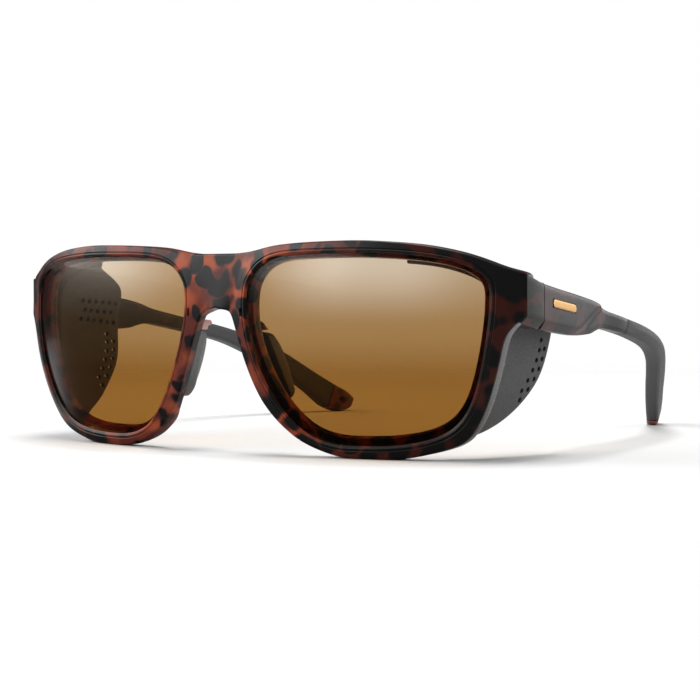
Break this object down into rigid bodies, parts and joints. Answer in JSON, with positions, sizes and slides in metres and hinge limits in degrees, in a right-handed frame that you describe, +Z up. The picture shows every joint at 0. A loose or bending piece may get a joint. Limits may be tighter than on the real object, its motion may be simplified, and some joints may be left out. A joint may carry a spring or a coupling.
{
  "type": "glacier glasses",
  "caption": "Glacier sunglasses with a wraparound front, tinted lenses, vented fold-in side shields, tilting nose pads and folding rubber-gripped temples.",
  "frame": {"origin": "middle of the footprint, on the surface the glasses stand on", "axes": "+X to the wearer's left, +Y back along the temples, +Z up"},
  "size_m": [0.1448, 0.1453, 0.049],
  "materials": {
    "tortoise_nylon": "matte tortoise pattern, near-black with red-brown patches",
    "brown_lens": "amber-brown tint with a soft pale reflection",
    "black_rubber": "matte, soft touch",
    "grey_shield": "matte, finely grained",
    "hinge_steel": "satin",
    "gold_bar": "satin"
  },
  "bodies": {
    "front": {"front_frame": "tortoise_nylon", "lens_left": "brown_lens", "lens_right": "brown_lens", "shield_clip_left": "grey_shield", "shield_clip_right": "grey_shield", "front_hinge_left": "hinge_steel", "front_hinge_right": "hinge_steel", "front_leaf_screw_left": "hinge_steel", "front_leaf_screw_right": "hinge_steel", "hinge_screw_left": "hinge_steel", "hinge_screw_right": "hinge_steel"},
    "temple_left": {"temple_left": "tortoise_nylon", "temple_grip_left": "black_rubber", "temple_hinge_left": "hinge_steel", "temple_leaf_screw_left": "hinge_steel", "temple_bar_left": "gold_bar"},
    "temple_right": {"temple_right": "tortoise_nylon", "temple_grip_right": "black_rubber", "temple_hinge_right": "hinge_steel", "temple_leaf_screw_right": "hinge_steel", "temple_bar_right": "gold_bar"},
    "shield_left": {"shield_panel_left": "grey_shield"},
    "shield_right": {"shield_panel_right": "grey_shield"},
    "nose_pad_left": {"nose_pad_left": "black_rubber", "nose_pad_arm_left": "tortoise_nylon"},
    "nose_pad_right": {"nose_pad_right": "black_rubber", "nose_pad_arm_right": "tortoise_nylon"}
  },
  "joints": [
    {"name": "temple_left_fold", "type": "hinge", "parent": "front", "child": "temple_left", "pos_m": [0.0683, -0.0474, 0.035], "axis": [0, 0, 1], "range_deg": [0, 82]},
    {"name": "temple_right_fold", "type": "hinge", "parent": "front", "child": "temple_right", "pos_m": [-0.0683, -0.0474, 0.035], "axis": [0, 0, -1], "range_deg": [0, 76]},
    {"name": "shield_left_bend", "type": "hinge", "parent": "front", "child": "shield_left", "pos_m": [0.061, -0.052, 0.026], "axis": [0, 0, 1], "range_deg": [0, 82]},
    {"name": "shield_right_bend", "type": "hinge", "parent": "front", "child": "shield_right", "pos_m": [-0.061, -0.052, 0.026], "axis": [0, 0, -1], "range_deg": [0, 76]},
    {"name": "nose_pad_left_tilt", "type": "hinge", "parent": "front", "child": "nose_pad_left", "pos_m": [0.007, -0.0668, 0.0304], "axis": [0, 1, 0], "range_deg": [0, 8]},
    {"name": "nose_pad_right_tilt", "type": "hinge", "parent": "front", "child": "nose_pad_right", "pos_m": [-0.007, -0.0668, 0.0304], "axis": [0, -1, 0], "range_deg": [0, 8]}
  ],
  "couplings": [
    {"joint": "shield_left_bend", "follows": "temple_left_fold", "ratio": 1},
    {"joint": "shield_right_bend", "follows": "temple_right_fold", "ratio": 1}
  ]
}
